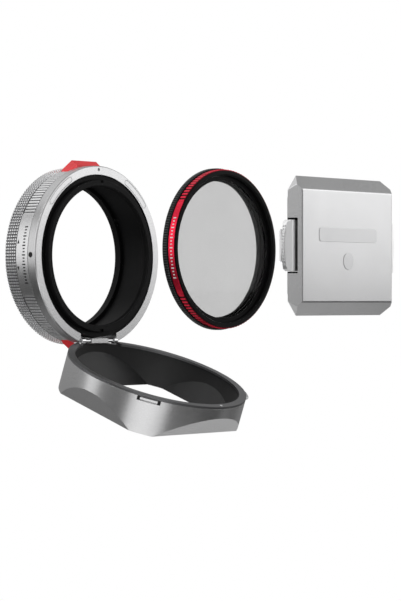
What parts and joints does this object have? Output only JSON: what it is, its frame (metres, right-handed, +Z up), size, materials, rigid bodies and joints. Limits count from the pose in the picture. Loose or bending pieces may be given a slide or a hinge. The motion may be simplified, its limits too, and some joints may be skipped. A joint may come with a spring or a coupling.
{
  "type": "lens filter adapter kit",
  "caption": "Lens filter adapter ring with a flip-down rectangular hood, a polarising filter that screws in and a pinch cap, laid out along one axis.",
  "frame": {"origin": "centre of the adapter's rear face, in the mouth of its mounting bore", "axes": "+Y along the optical axis towards the camera, so every front faces -Y; +Z up; X across"},
  "size_m": [0.074, 0.1361, 0.0951],
  "materials": {
    "silver_metal": "satin anodised",
    "bright_steel": "polished",
    "spring_steel": "drawn",
    "black_anodised": "satin black anodised",
    "matte_black_lining": "matte, light-absorbing",
    "red_paint": "satin",
    "red_anodised": "anodised",
    "grey_glass": "coated",
    "black_ink": "matte",
    "magnet": "nickel plated",
    "grip_metal": "satin, knurled",
    "badge_metal": "satin",
    "tag_film": "matte film"
  },
  "bodies": {
    "adapter": {"mount_ring": "black_anodised", "rear_screws": "bright_steel", "core_tube": "black_anodised", "latch_band": "silver_metal", "latch_guide_pins": "bright_steel", "latch_spring_top": "spring_steel", "latch_spring_bottom": "spring_steel", "front_body": "silver_metal", "front_bezel": "silver_metal", "face_inserts": "silver_metal", "holding_magnets": "magnet", "index_dot": "black_ink", "hinge_ears": "bright_steel", "ear_screws": "bright_steel", "hinge_pin": "bright_steel"},
    "grip": {"grip_sleeve": "silver_metal", "inner_barrel": "black_anodised", "drive_pins": "bright_steel", "thread_ring": "black_anodised"},
    "latch_top": {"latch_button_top": "red_paint"},
    "latch_bottom": {"latch_button_bottom": "red_paint"},
    "hood": {"hood_rim": "silver_metal", "hood_shell": "silver_metal", "hood_liner": "matte_black_lining", "finger_lugs": "silver_metal", "ball_pin": "bright_steel", "hinge_knuckle": "silver_metal", "knuckle_screws": "bright_steel"},
    "filter_base": {"filter_mount_ring": "black_anodised", "mist_glass": "grey_glass", "mist_retainer": "black_anodised"},
    "filter_rotor": {"filter_front_ring": "black_anodised", "filter_band": "red_anodised", "polariser_glass": "grey_glass", "glass_retainer": "black_anodised"},
    "cap": {"cap_shell": "silver_metal", "cap_back_plate": "black_anodised", "cap_badge": "badge_metal", "tag_disc": "tag_film", "cap_screws": "bright_steel", "cap_spring_posts": "black_anodised", "cap_spring_left": "spring_steel", "cap_spring_right": "spring_steel"},
    "cap_left": {"cap_grip_left": "grip_metal", "cap_claw_left": "bright_steel"},
    "cap_right": {"cap_grip_right": "grip_metal", "cap_claw_right": "bright_steel"}
  },
  "joints": [
    {"name": "grip_turn", "type": "hinge", "parent": "adapter", "child": "grip", "pos_m": [0, -0.003, 0], "axis": [0, 1, 0], "range_deg": [-45, 45]},
    {"name": "latch_top_press", "type": "slide", "parent": "adapter", "child": "latch_top", "axis": [0, 0, -1], "range_m": [0, 0.001], "stiffness_N_per_m": 300, "springref_m": -0.001, "deforming": ["latch_spring_top"]},
    {"name": "latch_bottom_press", "type": "slide", "parent": "adapter", "child": "latch_bottom", "axis": [0, 0, 1], "range_m": [0, 0.001], "stiffness_N_per_m": 300, "springref_m": -0.001, "deforming": ["latch_spring_bottom"]},
    {"name": "hood_fold", "type": "hinge", "parent": "adapter", "child": "hood", "pos_m": [0, -0.0154, -0.03], "axis": [-1, 0, 0], "range_deg": [0, 110]},
    {"name": "filter_seat", "type": "slide", "parent": "adapter", "child": "filter_base", "axis": [0.2099, 0.9776, -0.0182], "range_m": [0, 0.06552]},
    {"name": "filter_turn", "type": "hinge", "parent": "filter_base", "child": "filter_rotor", "pos_m": [-0.01375, -0.0835, 0.00119], "axis": [0, 1, 0], "continuous": true},
    {"name": "cap_seat", "type": "slide", "parent": "filter_base", "child": "cap", "axis": [0, 1, 0], "range_m": [0, 0.03765]},
    {"name": "cap_left_squeeze", "type": "slide", "parent": "cap", "child": "cap_left", "axis": [1, 0, 0], "range_m": [0, 0.0015], "stiffness_N_per_m": 200, "springref_m": -0.001, "deforming": ["cap_spring_left"]},
    {"name": "cap_right_squeeze", "type": "slide", "parent": "cap", "child": "cap_right", "axis": [-1, 0, 0], "range_m": [0, 0.0015], "stiffness_N_per_m": 200, "springref_m": -0.001, "deforming": ["cap_spring_right"]}
  ]
}
